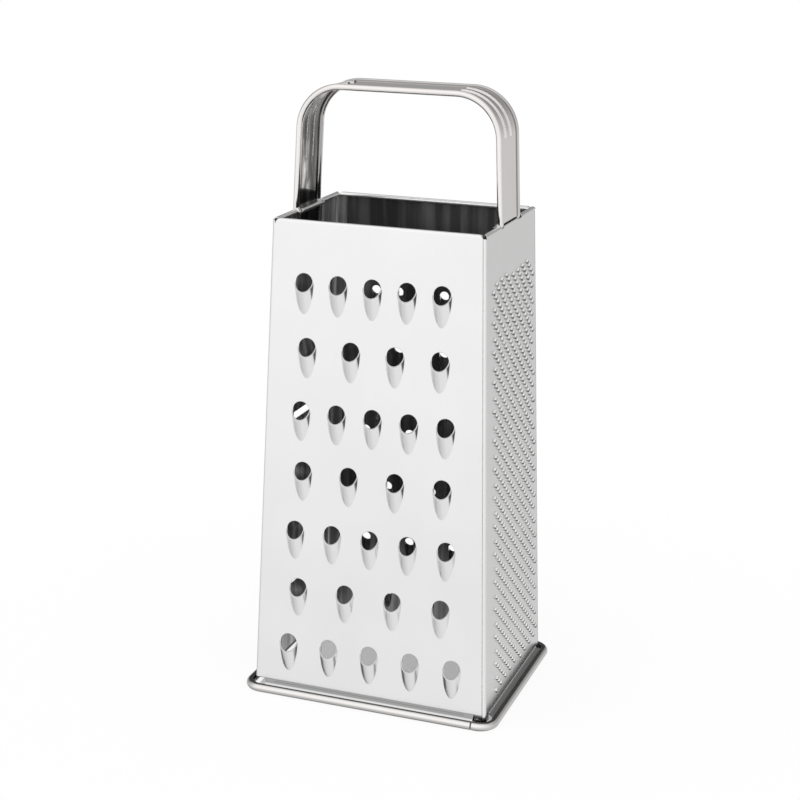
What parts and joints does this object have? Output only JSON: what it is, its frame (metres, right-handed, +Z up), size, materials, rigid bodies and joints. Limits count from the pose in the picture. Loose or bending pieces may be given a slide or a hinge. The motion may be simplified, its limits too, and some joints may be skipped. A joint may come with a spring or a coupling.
{
  "type": "box grater",
  "caption": "Open tapered box of thin steel with coarse scoop teeth, fine spikes, medium scoops and slicing slots on its sides, a strap handle over the top and a bead rim at the foot.",
  "frame": {"origin": "on the ground under the middle of the base rim", "axes": "+Z up towards the handle; +X along the wide front, whose outer side with the coarse teeth faces -Y; the spiked side faces +X"},
  "size_m": [0.106, 0.084, 0.2394],
  "materials": {
    "panel_steel": "satin, faintly grained",
    "handle_steel": "polished",
    "rim_steel": "polished"
  },
  "bodies": {
    "root": {"front_panel": "panel_steel", "right_panel": "panel_steel", "back_panel": "panel_steel", "left_panel": "panel_steel", "handle": "handle_steel", "base_rim": "rim_steel"}
  },
  "joints": []
}
